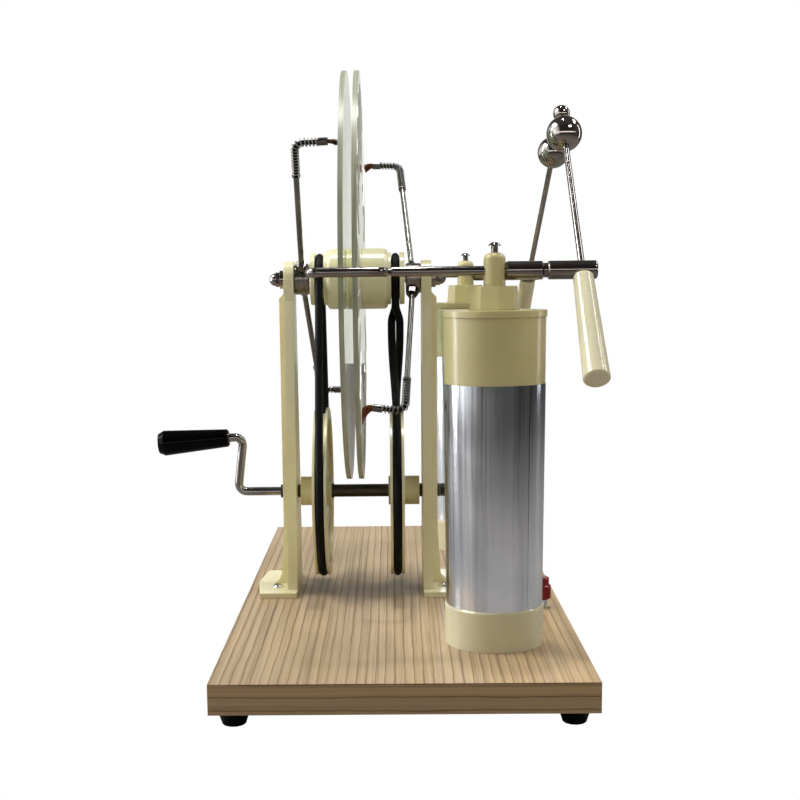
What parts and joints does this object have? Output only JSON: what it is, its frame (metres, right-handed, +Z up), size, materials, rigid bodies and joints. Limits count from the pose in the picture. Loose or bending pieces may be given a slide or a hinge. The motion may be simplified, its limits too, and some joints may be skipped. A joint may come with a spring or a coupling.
{
  "type": "electrostatic influence generator",
  "caption": "Hand-cranked electrostatic generator: counter-turning discs, two charge jars and a pair of spark balls on a wooden board.",
  "frame": {"origin": "centre of the bounding box at floor level, under the feet", "axes": "+Z up; +X along the axles from the crank towards the jars and spark balls; +Y across the axles, away from the side with the first jar in the picture"},
  "size_m": [0.2986, 0.458, 0.3865],
  "materials": {
    "ivory_plastic": "gloss",
    "dark_chrome": "polished",
    "steel": "satin",
    "black_rubber": "matte",
    "foot_rubber": "matte",
    "wood": "satin",
    "clear_disc": "clear",
    "foil": "polished",
    "brass": "satin",
    "copper": "satin",
    "dark_tube": "satin",
    "black_plastic": "gloss",
    "red_plastic": "gloss"
  },
  "bodies": {
    "frame": {"board": "wood", "feet": "foot_rubber", "foot_screws": "steel", "left_upright": "ivory_plastic", "right_upright": "ivory_plastic", "upright_screws": "steel", "upper_axle": "steel", "axle_washers": "dark_chrome", "axle_nuts": "dark_chrome", "shaft_bushes": "dark_tube", "open_belt": "black_rubber", "crossed_belt": "black_rubber", "jar_bases": "ivory_plastic", "near_jar_cup": "ivory_plastic", "far_jar_cup": "ivory_plastic", "jar_foils": "foil", "inner_foils": "foil", "jar_lids": "ivory_plastic", "post_nuts": "ivory_plastic", "posts": "ivory_plastic", "clamp_screws": "dark_chrome", "jar_rods": "brass", "near_collector": "dark_chrome", "far_collector": "dark_chrome", "bar_sleeves": "dark_chrome", "terminal_bases": "steel"},
    "crank": {"crank_shaft": "dark_chrome", "left_drive_pulley": "ivory_plastic", "right_drive_pulley": "ivory_plastic", "spacer_tube": "dark_tube", "shaft_nut": "steel"},
    "grip": {"crank_grip": "black_plastic"},
    "left_rotor": {"left_hub": "ivory_plastic", "left_disc": "clear_disc", "left_sectors": "foil", "left_clamp_ring": "ivory_plastic", "left_bearing": "brass"},
    "right_rotor": {"right_hub": "ivory_plastic", "right_disc": "clear_disc", "right_sectors": "foil", "right_clamp_ring": "ivory_plastic", "right_bearing": "brass"},
    "left_brush_rod": {"left_rod_boss": "dark_chrome", "left_rod_arms": "dark_chrome", "left_springs": "steel", "left_brushes": "copper"},
    "right_brush_rod": {"right_rod_boss": "dark_chrome", "right_rod_arms": "dark_chrome", "right_springs": "steel", "right_brushes": "copper"},
    "near_electrode": {"near_swivel": "dark_chrome", "near_electrode_rod": "dark_chrome", "near_ball": "dark_chrome", "near_handle": "ivory_plastic"},
    "far_electrode": {"far_swivel": "dark_chrome", "far_electrode_rod": "dark_chrome", "far_ball": "dark_chrome", "far_handle": "ivory_plastic"},
    "near_terminal": {"near_terminal_knob": "red_plastic"},
    "far_terminal": {"far_terminal_knob": "red_plastic"}
  },
  "joints": [
    {"name": "crank_turn", "type": "hinge", "parent": "frame", "child": "crank", "pos_m": [-0.00573, 0, 0.0965], "axis": [1, 0, 0], "continuous": true},
    {"name": "grip_spin", "type": "hinge", "parent": "crank", "child": "grip", "pos_m": [-0.08848, 0, 0.136], "axis": [0.9973, 0, 0.0732], "continuous": true},
    {"name": "left_disc_turn", "type": "hinge", "parent": "frame", "child": "left_rotor", "pos_m": [-0.00573, 0, 0.2465], "axis": [1, 0, 0], "continuous": true},
    {"name": "right_disc_turn", "type": "hinge", "parent": "frame", "child": "right_rotor", "pos_m": [-0.00573, 0, 0.2465], "axis": [1, 0, 0], "continuous": true},
    {"name": "left_brush_rod_swing", "type": "hinge", "parent": "frame", "child": "left_brush_rod", "pos_m": [-0.00573, 0, 0.2465], "axis": [1, 0, 0], "range_deg": [-14, 20]},
    {"name": "right_brush_rod_swing", "type": "hinge", "parent": "frame", "child": "right_brush_rod", "pos_m": [-0.00573, 0, 0.2465], "axis": [1, 0, 0], "range_deg": [-20, 14]},
    {"name": "near_electrode_swing", "type": "hinge", "parent": "frame", "child": "near_electrode", "pos_m": [0.12977, -0.1439, 0.2499], "axis": [1, 0, 0], "range_deg": [-40, 50]},
    {"name": "far_electrode_swing", "type": "hinge", "parent": "frame", "child": "far_electrode", "pos_m": [0.12977, 0.1439, 0.2499], "axis": [1, 0, 0], "range_deg": [-50, 40]},
    {"name": "near_terminal_lift", "type": "slide", "parent": "frame", "child": "near_terminal", "axis": [0, 0, 1], "range_m": [0, 0.004]},
    {"name": "far_terminal_lift", "type": "slide", "parent": "frame", "child": "far_terminal", "axis": [0, 0, 1], "range_m": [0, 0.004]}
  ],
  "couplings": [
    {"joint": "left_disc_turn", "follows": "crank_turn", "ratio": 3.8667},
    {"joint": "right_disc_turn", "follows": "crank_turn", "ratio": -3.8667}
  ]
}
